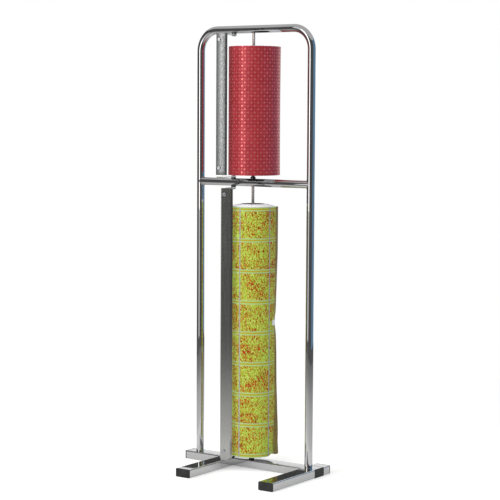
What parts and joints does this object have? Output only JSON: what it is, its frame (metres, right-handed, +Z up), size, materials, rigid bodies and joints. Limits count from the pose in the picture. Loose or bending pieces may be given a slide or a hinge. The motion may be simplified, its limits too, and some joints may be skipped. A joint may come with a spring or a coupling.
{
  "type": "paper roll stand",
  "caption": "Free-standing chromed tube stand that holds a short and a long roll of wrapping paper upright on rods, each with a swinging bar to tear the sheet against.",
  "frame": {"origin": "on the floor, under the axis of the rolls, 4.5 mm left of the base rail's middle", "axes": "+X along the base rail to the user's right, +Y to the back, +Z up along the rolls' axis"},
  "size_m": [0.384, 0.256, 1.0675],
  "materials": {
    "chrome_tube": "mirror chrome plate",
    "black_plastic": "fine matt",
    "black_nylon": "matt",
    "grey_plastic": "moulded",
    "red_paper": "satin print with fine dots",
    "green_paper": "satin print with a check",
    "cardboard": "raw grey board",
    "zinc_sheet": "zinc-plated sheet",
    "bright_steel": "drawn bright steel",
    "fastener_steel": "zinc-plated"
  },
  "bodies": {
    "frame": {"frame_hoop": "chrome_tube", "crossbar": "chrome_tube", "base_rail": "chrome_tube", "left_front_foot": "chrome_tube", "right_front_foot": "chrome_tube", "left_rear_foot": "chrome_tube", "right_rear_foot": "chrome_tube", "left_front_cap": "black_plastic", "right_front_cap": "black_plastic", "left_rear_cap": "black_plastic", "right_rear_cap": "black_plastic", "left_rail_cap": "black_plastic", "right_rail_cap": "black_plastic", "top_pivot_spacer": "black_nylon", "crossbar_top_spacer": "black_nylon", "crossbar_under_spacer": "black_nylon", "base_pivot_spacer": "black_nylon", "top_pivot_boss": "fastener_steel", "base_pivot_boss": "fastener_steel", "top_pivot_screw": "fastener_steel", "base_pivot_screw": "fastener_steel", "crossbar_pivot_bolt": "fastener_steel", "crossbar_pivot_nut": "fastener_steel", "left_upright_plug": "fastener_steel", "right_upright_plug": "fastener_steel", "left_upright_bolt": "fastener_steel", "right_upright_bolt": "fastener_steel"},
    "upper_spindle": {"upper_spindle_rod": "bright_steel", "upper_spindle_collar": "black_nylon", "upper_collar_screw": "fastener_steel"},
    "upper_roll": {"upper_paper_roll": "red_paper", "upper_roll_core": "cardboard", "upper_bottom_plug": "grey_plastic", "upper_top_plug": "grey_plastic"},
    "upper_tear_bar": {"upper_tear_bar": "zinc_sheet", "upper_top_arm": "zinc_sheet", "upper_bottom_arm": "zinc_sheet", "upper_bar_screws": "fastener_steel", "upper_bar_nuts": "fastener_steel"},
    "lower_spindle": {"lower_spindle_rod": "bright_steel", "lower_spindle_collar": "black_nylon", "lower_collar_screw": "fastener_steel"},
    "lower_roll": {"lower_paper_roll": "green_paper", "lower_roll_core": "cardboard", "lower_bottom_plug": "grey_plastic", "lower_top_plug": "grey_plastic"},
    "lower_tear_bar": {"lower_tear_bar": "zinc_sheet", "lower_top_arm": "zinc_sheet", "lower_bottom_arm": "zinc_sheet", "lower_bar_screws": "fastener_steel", "lower_bar_nuts": "fastener_steel"}
  },
  "joints": [
    {"name": "upper_tear_bar_swing", "type": "hinge", "parent": "frame", "child": "upper_tear_bar", "pos_m": [-0.058, 0, 0], "axis": [0, 0, 1], "range_deg": [-75, 9]},
    {"name": "lower_tear_bar_swing", "type": "hinge", "parent": "frame", "child": "lower_tear_bar", "pos_m": [-0.058, 0, 0], "axis": [0, 0, 1], "range_deg": [-75, 0]},
    {"name": "upper_spindle_lift", "type": "slide", "parent": "frame", "child": "upper_spindle", "axis": [0, 0, 1], "range_m": [0, 0.0065]},
    {"name": "upper_roll_spin", "type": "hinge", "parent": "upper_spindle", "child": "upper_roll", "pos_m": [0, 0, 0], "axis": [0, 0, 1], "continuous": true},
    {"name": "lower_spindle_lift", "type": "slide", "parent": "frame", "child": "lower_spindle", "axis": [0, 0, 1], "range_m": [0, 0.0065]},
    {"name": "lower_roll_spin", "type": "hinge", "parent": "lower_spindle", "child": "lower_roll", "pos_m": [0, 0, 0], "axis": [0, 0, 1], "continuous": true}
  ]
}
